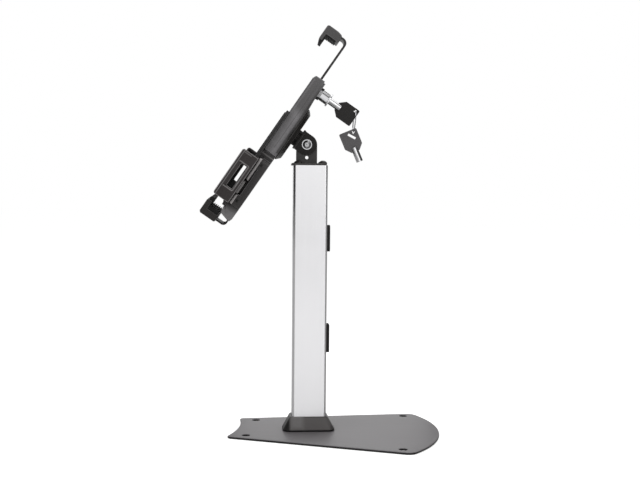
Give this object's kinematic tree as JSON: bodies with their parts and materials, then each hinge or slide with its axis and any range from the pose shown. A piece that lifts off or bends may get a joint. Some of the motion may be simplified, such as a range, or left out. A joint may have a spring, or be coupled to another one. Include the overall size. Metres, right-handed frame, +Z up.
{
  "type": "desktop tablet stand",
  "caption": "Desktop tablet stand: steel foot, swivelling mast, tilting and turning holder with sliding hooks and side clamps, key lock on the back.",
  "frame": {"origin": "where the mast's swivel axis meets the table, on the underside of the mat", "axes": "+Z up along the mast, -Y to the user's side of the foot, +X to the user's right"},
  "size_m": [0.197, 0.2837, 0.475],
  "materials": {
    "mat_rubber": "matt ribbed rubber",
    "black_paint": "semi-gloss black powder coat",
    "bright_steel": "zinc plated",
    "chrome": "polished",
    "mast_alu": "satin anodised",
    "casing_grey": "fine grain grey",
    "black_plastic": "fine grain black",
    "lock_nut_black": "black",
    "pale_nylon": "natural nylon",
    "pad_rubber": "soft black rubber"
  },
  "bodies": {
    "base": {"base_mat": "mat_rubber", "base_plate": "black_paint", "foot_bolt": "bright_steel", "slide_washer": "pale_nylon", "foot_spring": "bright_steel", "foot_nut": "bright_steel"},
    "mast": {"swivel_plate": "bright_steel", "swivel_screws": "bright_steel", "foot_collar": "black_plastic", "mast": "mast_alu", "lower_clip": "black_plastic", "upper_clip": "black_plastic", "mast_bracket": "black_paint", "mast_screws": "black_paint"},
    "tilt_head": {"tilt_fork": "black_paint", "tilt_bolt": "bright_steel", "tilt_nut": "bright_steel", "tilt_washers": "chrome", "tilt_slips": "pale_nylon", "stop_pin": "bright_steel", "pivot_screw": "bright_steel", "pivot_washer": "bright_steel"},
    "holder": {"hub_disc": "black_paint", "pivot_slip": "pale_nylon", "hub_screws": "bright_steel", "upper_casing": "casing_grey", "lower_casing": "casing_grey", "bar_keeper": "bright_steel", "mid_plate": "bright_steel", "stop_screw": "bright_steel", "arm_guide": "black_plastic", "arm_glides": "black_plastic", "front_cover": "black_plastic", "cover_screws": "bright_steel", "arm_screws": "bright_steel", "cushion": "pad_rubber", "lock_nut": "lock_nut_black", "lock_barrel": "chrome"},
    "lock": {"lock_plug": "bright_steel", "lock_cam": "bright_steel", "cam_screw": "bright_steel", "key_shaft": "chrome", "key_bow": "black_plastic"},
    "ring": {"key_ring": "chrome"},
    "spare_key": {"spare_shaft": "chrome", "spare_bow": "black_plastic"},
    "top_slider": {"top_bar": "black_paint", "top_hook": "black_plastic", "hook_screws": "bright_steel", "top_pad": "pad_rubber"},
    "bottom_slider": {"bottom_bar": "black_paint", "bottom_hook": "black_plastic", "shelf_screws": "bright_steel", "bottom_pad": "pad_rubber"},
    "left_slider": {"left_arm": "black_paint", "left_clamp": "black_plastic", "left_pad": "pad_rubber"},
    "right_slider": {"right_arm": "black_paint", "right_clamp": "black_plastic", "right_pad": "pad_rubber"}
  },
  "joints": [
    {"name": "mast_swivel", "type": "hinge", "parent": "base", "child": "mast", "pos_m": [0, 0, 0.01], "axis": [0, 0, 1], "continuous": true},
    {"name": "tilt", "type": "hinge", "parent": "mast", "child": "tilt_head", "pos_m": [0.00067, -0.00425, 0.3381], "axis": [0.9877, 0.1564, 0], "range_deg": [-40.5, 24.5]},
    {"name": "turn", "type": "hinge", "parent": "tilt_head", "child": "holder", "pos_m": [0.00067, -0.00425, 0.3381], "axis": [0.1289, -0.814, 0.5664], "range_deg": [-85.5, 94.5]},
    {"name": "top_slide", "type": "slide", "parent": "holder", "child": "top_slider", "axis": [-0.0108, 0.57, 0.8216], "range_m": [-0.03, 0.045]},
    {"name": "bottom_slide", "type": "slide", "parent": "holder", "child": "bottom_slider", "axis": [0.0108, -0.57, -0.8216], "range_m": [-0.002, 0.03]},
    {"name": "left_slide", "type": "slide", "parent": "holder", "child": "left_slider", "axis": [-0.9916, -0.1121, 0.0647], "range_m": [-0.01, 0.03]},
    {"name": "right_slide", "type": "slide", "parent": "holder", "child": "right_slider", "axis": [0.9916, 0.1121, -0.0647], "range_m": [-0.01, 0.03]},
    {"name": "lock_turn", "type": "hinge", "parent": "holder", "child": "lock", "pos_m": [0.00134, 0.0201, 0.39059], "axis": [0.1289, -0.814, 0.5664], "range_deg": [0, 90]},
    {"name": "ring_swing", "type": "hinge", "parent": "lock", "child": "ring", "pos_m": [-0.00314, 0.05213, 0.377], "axis": [0.9877, 0.1564, 0], "range_deg": [-38, 38]},
    {"name": "spare_swing", "type": "hinge", "parent": "ring", "child": "spare_key", "pos_m": [-0.00281, 0.05003, 0.35339], "axis": [0.9877, 0.1564, 0], "range_deg": [-26, 26]}
  ]
}
